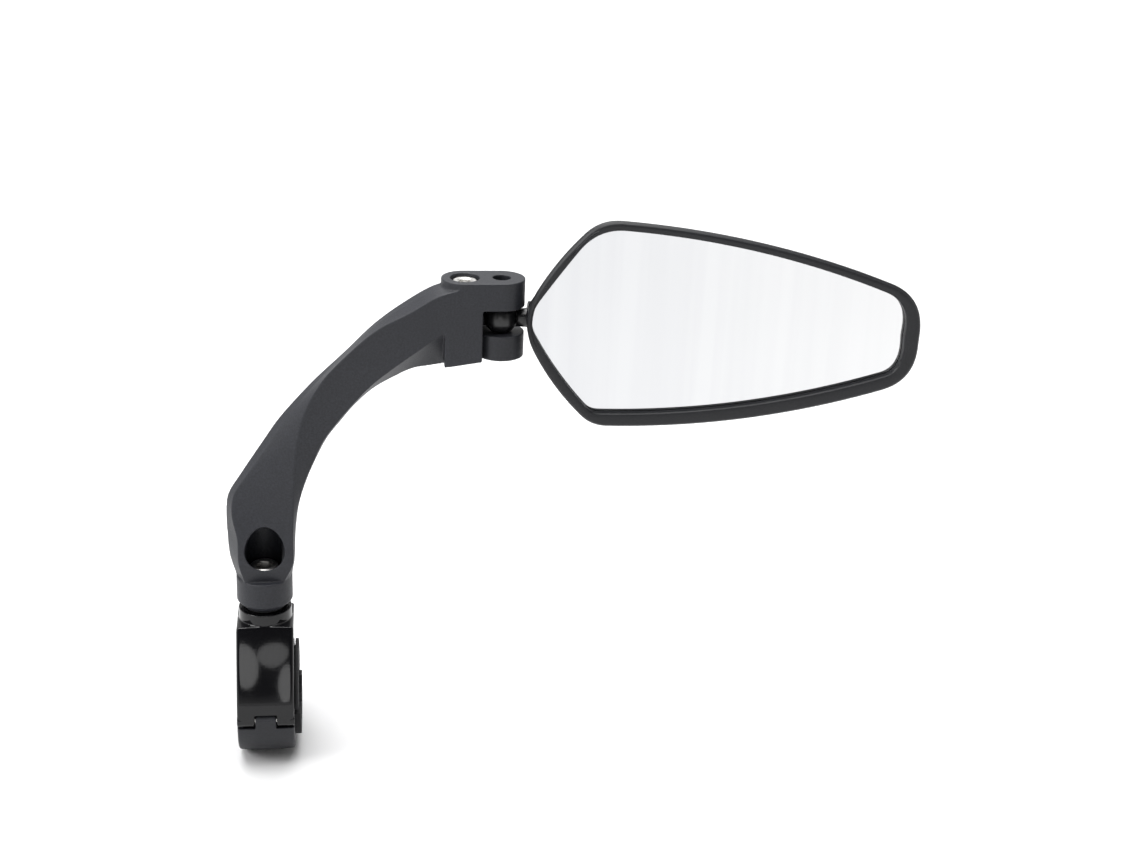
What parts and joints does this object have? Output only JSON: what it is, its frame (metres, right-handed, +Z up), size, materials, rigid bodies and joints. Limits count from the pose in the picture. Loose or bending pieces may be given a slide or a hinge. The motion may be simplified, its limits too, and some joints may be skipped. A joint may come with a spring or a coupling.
{
  "type": "bicycle handlebar mirror",
  "caption": "Bicycle handlebar mirror: hinged bar clamp, curved swivelling arm, ball joint between screw-tightened jaws, and a kite-shaped flat mirror in a bezel.",
  "frame": {"origin": "centre of the clamp's bore, on the handlebar's axis", "axes": "+X along the handlebar towards the mirror head, -Y the side the mirror faces, +Z up from the bar to the arm"},
  "size_m": [0.2389, 0.0512, 0.1999],
  "materials": {
    "arm_black": "fine moulded grain, charcoal black",
    "gloss_black": "polished gloss black",
    "jaw_black": "matte dark grey moulding",
    "shim_rubber": "soft black rubber",
    "ball_black": "smooth gloss black",
    "steel": "bright plated steel",
    "bezel_black": "fine satin grain",
    "shell_black": "fine satin grain",
    "silvered_glass": "flat silvered glass, polished",
    "foam": "white foam tape"
  },
  "bodies": {
    "clamp": {"clamp_upper": "gloss_black", "shim_upper": "shim_rubber", "hinge_pin": "steel", "clamp_nut": "steel", "neck_nut": "steel", "swivel_washer": "shim_rubber", "base_screw": "steel"},
    "clamp_lower_half": {"clamp_lower": "jaw_black", "shim_lower": "shim_rubber", "clamp_screw_washer": "steel", "clamp_screw": "steel"},
    "arm": {"arm": "arm_black", "base_screw_washer": "steel", "ball_screw_washer": "steel"},
    "ball_screw": {"ball_screw": "steel"},
    "lower_jaw": {"lower_jaw": "jaw_black", "jaw_nut": "steel"},
    "pivot_ball": {"pivot_ball": "ball_black"},
    "ball_stud": {"ball_stud": "ball_black", "stud_nut": "steel"},
    "mirror_head": {"back_shell": "shell_black", "bezel": "bezel_black", "mirror_glass": "silvered_glass", "glass_pad": "foam", "stud_washer": "steel"}
  },
  "joints": [
    {"name": "clamp_open", "type": "hinge", "parent": "clamp", "child": "clamp_lower_half", "pos_m": [0, -0.0186, -0.001], "axis": [-1, 0, 0], "range_deg": [0, 80]},
    {"name": "arm_swivel", "type": "hinge", "parent": "clamp", "child": "arm", "pos_m": [0, 0, 0.036], "axis": [0, 0, 1], "continuous": true},
    {"name": "ball_screw_turn", "type": "hinge", "parent": "arm", "child": "ball_screw", "pos_m": [0.0688, 0, 0.1507], "axis": [0, 0, 1], "range_deg": [0, 360]},
    {"name": "jaw_release", "type": "slide", "parent": "arm", "child": "lower_jaw", "axis": [0, 0, -1], "range_m": [0, 0.0008]},
    {"name": "head_yaw", "type": "hinge", "parent": "arm", "child": "pivot_ball", "pos_m": [0.0812, 0, 0.1424], "axis": [0, 0, 1], "range_deg": [-75, 75]},
    {"name": "head_nod", "type": "hinge", "parent": "pivot_ball", "child": "ball_stud", "pos_m": [0.0812, 0, 0.1424], "axis": [0, 1, 0], "range_deg": [-8, 8]},
    {"name": "head_roll", "type": "hinge", "parent": "ball_stud", "child": "mirror_head", "pos_m": [0.0812, 0, 0.1424], "axis": [1, 0, 0], "continuous": true}
  ],
  "couplings": [
    {"joint": "ball_screw_turn", "follows": "jaw_release", "rad_per_m": 7850}
  ]
}
